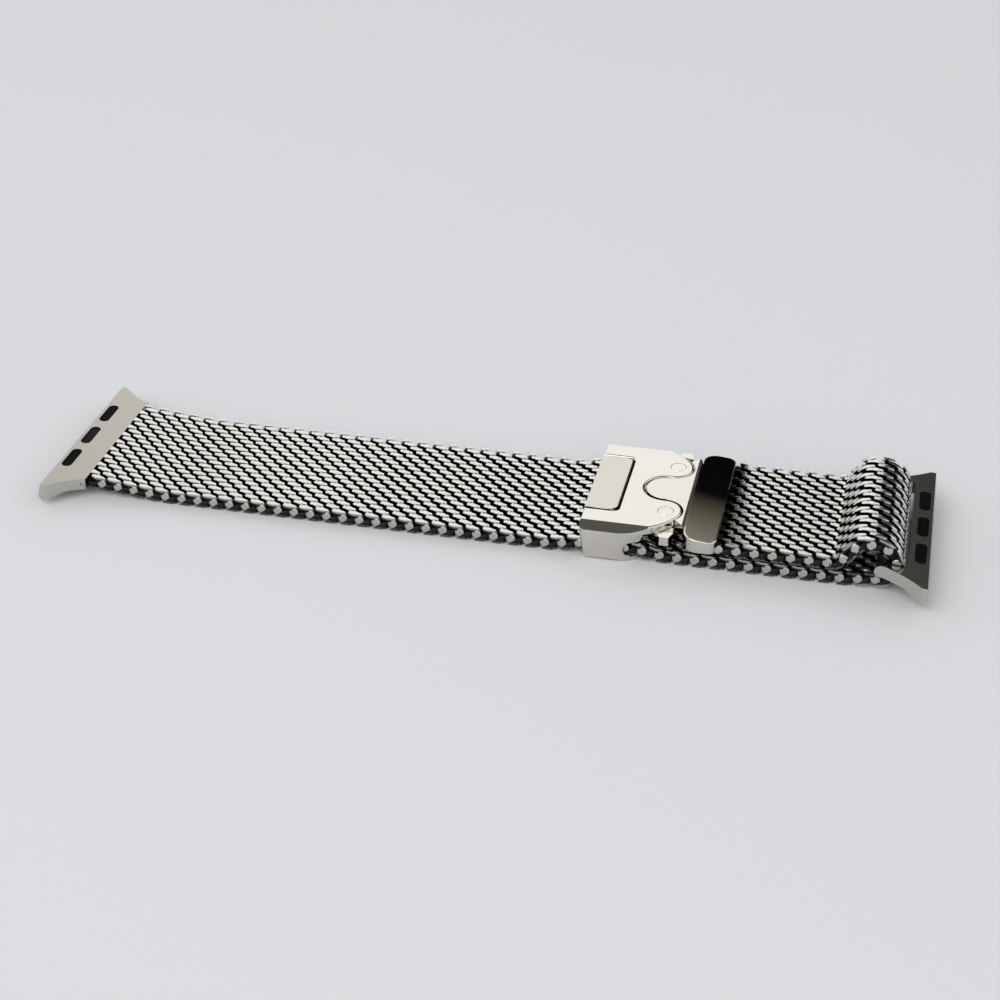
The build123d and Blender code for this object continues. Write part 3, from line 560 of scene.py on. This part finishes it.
for i in range(4):
    low, high = FLEX[i] - BEND_REACH, FLEX[i] + BEND_REACH
    bend = lay_cloth(f"cloth_bend_{i + 1}", *studs_between(LEFT_STUD, low, high), wire=BEND_WIRES[i])
    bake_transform(bend)
for i in range(1, 4):
    low, high = FLEX[i] + BEND_REACH, FLEX[i - 1] - BEND_REACH
    plain = lay_cloth(f"cloth_section_{i}", *studs_between(LEFT_STUD, low, high), wire=SECTION_WIRES[i - 1])
    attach(plain, BODIES[i])
    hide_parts(f"mesh_section_{i}")

# %% [markdown]
# ## At the lug, in the clasp and along the table
# At the fixed lug the cloth is sawn off square and held in the lug's groove, so half a spiral shows there.
# Through the clasp and on to the fold it lies flat, and is one piece with the clasp's body.

# %% The stretches that ride on the lug and on the clasp
LUG_EDGE = -70.9
LUG_CUT = 0.06
LOWER_START = 1.5
LOWER_END = 30.0
RIGHT_STUD = 6.69
at_lug = studs_between(LEFT_STUD, LUG_EDGE, FLEX[3] - BEND_REACH)
lug_cloth = lay_cloth("cloth_at_fixed_lug", *at_lug, wire=0.45, cut=LUG_CUT)
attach(lug_cloth, "left_lug_end")
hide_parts("mesh_lug_section")
left_of_clasp = lay_cloth("cloth_into_clasp", *studs_between(LEFT_STUD, FLEX[0] + BEND_REACH, 0.0))
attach(left_of_clasp, "clasp")
lower = lay_cloth("cloth_lower_layer", *studs_between(RIGHT_STUD, LOWER_START, LOWER_END), wire=0.38)
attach(lower, "clasp")
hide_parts("mesh_clasp_section")

# %% [markdown]
# ## The loop round the slotted lug, and the strap end on top
# The loop joins the lower layer, which stays, to the strap end, which is pulled out with the buckle tongue.
# It could ride on one of them, but would tear off the other, so its rising part rides on neither, and the
# part that comes down from the top rides with the strap end. Its studs are spread evenly between the last
# stud below and the first one above.

# %% The loop and the strap end
LOWER_PITCHES = 10
TAIL_PITCHES = 6
TAIL_STUD = 27.59
TAIL_END = 11.45
# Painted shade: the strap end's turns left of this, next to the bar, are painted dark.
SHADE_BEFORE = 14.9
# On the way back, and higher than this, the studs belong to the strap end.
FOOT_FROM = 33.0
FOOT_ABOVE = 4.0
lower_end = distance_at(route, RIGHT_STUD + LOWER_PITCHES * PITCH)
top_distance = next(p[0] for p in route if p[2] > FOOT_ABOVE and p[1] < FOOT_FROM)
upper_first = strip_end - (TAIL_STUD - TAIL_END)
count = round((upper_first - lower_end) / PITCH)
fold_pitch = (upper_first - lower_end) / count
fold_studs = [lower_end + i * fold_pitch for i in range(1, count)]
rising = [s for s in fold_studs if s < top_distance]
falling = [s for s in fold_studs if s >= top_distance]
print("fold pitch", round(fold_pitch, 3), "mm,", len(rising), "studs up and", len(falling), "down")
loop = lay_cloth("cloth_loop", rising[0], rising[-1], fold_pitch, wire=0.36, under=1)
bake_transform(loop)
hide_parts("mesh_fold")
foot = lay_cloth("cloth_loop_foot", falling[0], falling[-1], fold_pitch, wire=0.38, under=1)
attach(foot, "strap_end")
tail = lay_cloth("cloth_strap_end", upper_first, upper_first + TAIL_PITCHES * PITCH, wire=0.38,
                 shade_past=strip_end - (SHADE_BEFORE - TAIL_END), under=1)
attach(tail, "strap_end")
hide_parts("mesh_tail")

# %% [markdown]
# ## Finishes of the clasp
# The clasp is polished stainless steel, and its flap is brushed. The shapes are the CAD's own. Only the
# materials on their slots change. One finish for all would be quicker, but the real pieces were buffed and
# brushed one by one, and that is what tells them apart.

# %% Steel of the clasp and the springs
# Buffed stainless: almost a mirror. Real buff marks are too fine to show, so the faint waviness that keeps
# edges in it from being dead straight is drawn at 0.5 mm.
polished = steel("polished_stainless", "#d3d0c7", 0.09, grain_mm=0.5, grain_depth=0.0004)
# The buckle tongue and its cross bar are buffed finer, so that the bar mirrors its dark card clearly.
tongue_finish = steel("polished_stainless_tongue", "#d1cdc4", 0.06, grain_mm=0.5, grain_depth=0.0003)
# The flap is brushed along its long side: a little greyer and softer than the plate round it. The brush
# lines are drawn 0.3 mm apart, coarser than the real ones, which would not show.
flap_finish = steel("brushed_stainless_flap", "#c2c0b6", 0.13, grain_mm=0.3, grain_depth=0.0004,
                    stretch=(1, 0.1, 1))
# Drawn spring wire: plain grey metal, only seen when the clasp is open, with its drawing marks at 0.2 mm.
spring = steel("spring_steel", "#9a9a98", 0.25, grain_mm=0.2, grain_depth=0.001)

# %% [markdown]
# ## Finish of the lugs
# The lugs are vapour-blasted, which gives their faces a soft grey sheen, and their ends get a painted
# highlight, a brighter colour.
# Two materials would need a cut line. One material that reads how far a face is turned to the band's side
# changes over by itself where the lug rounds off into its ends.

# %% Satin steel
BLASTED_TONE = "#a9a59b"
# Painted highlight: the brighter colour of the lug's ends.
LUG_END_HIGHLIGHT_TONE = "#c4c2bb"
# The grain is drawn at 0.05 mm, far coarser than the real blast marks, which would not show.
satin = steel("satin_stainless_lug", BLASTED_TONE, 0.22, grain_mm=0.05, grain_depth=0.00004,
              stretch=(1, 0.05, 1))
satin_tree = satin.node_tree
# Painted highlight: faces turned to the band's side, the lug's ends, get the brighter colour.
ends = add_node(satin_tree, "ShaderNodeTexCoord")
facing = add_node(satin_tree, "ShaderNodeSeparateXYZ", {"Vector": ends.outputs["Normal"]})
turned = add_node(satin_tree, "ShaderNodeMath", {0: facing.outputs["Y"]}, operation="ABSOLUTE")
end_highlight = add_node(satin_tree, "ShaderNodeValToRGB", {"Fac": turned.outputs["Value"]})
end_highlight.color_ramp.elements[0].position = 0.25
end_highlight.color_ramp.elements[0].color = linear(BLASTED_TONE)
end_highlight.color_ramp.elements[1].position = 0.60
end_highlight.color_ramp.elements[1].color = linear(LUG_END_HIGHLIGHT_TONE)
satin_tree.links.new(end_highlight.outputs["Color"], satin_tree.nodes["Principled BSDF"].inputs["Base Color"])
print("lug ends", LUG_END_HIGHLIGHT_TONE)

# %% [markdown]
# ## Latches and pads
# Each lug has a latch button moulded in acetal and two pads of silicone rubber. They sit in pockets and read
# as plain black ovals, so they need no grain, only two blacks, one a little glossier than the other.

# %% Black plastic and rubber
def dull_black(name, colour, roughness):
    material = bpy.data.materials.new(name)
    material.use_nodes = True
    shader = material.node_tree.nodes["Principled BSDF"]
    shader.inputs["Base Color"].default_value = linear(colour)
    shader.inputs["Roughness"].default_value = roughness
    shader.inputs["Specular IOR Level"].default_value = 0.04
    print(name, colour, "roughness", roughness)
    return material


# Moulded acetal: black, with a faint sheen.
acetal = dull_black("black_acetal_latch", "#060607", 0.35)
# Moulded silicone: black and dull.
silicone = dull_black("black_silicone_pad", "#070707", 0.6)

# %% [markdown]
# ## Repaint the CAD nodes
# Each CAD node comes with a slot named for what it is made of. The finishes are put on by that name, so a
# new piece of the same stuff would be painted too. The flap is named by itself, as it shares its slot.

# %% Repaint
FINISHES = {"clasp_steel": polished, "tongue_steel": tongue_finish, "lug_steel": satin,
            "spring_steel": spring, "latch_black": acetal, "pad_rubber": silicone, "mesh_steel": wire_steel}
for name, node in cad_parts.items():
    for slot in node.material_slots:
        key = next((k for k in FINISHES if slot.material and slot.material.name.startswith(k)), None)
        if key:
            slot.material = flap_finish if name == "clamp_flap" else FINISHES[key]
    print(name, [s.material.name for s in node.material_slots])
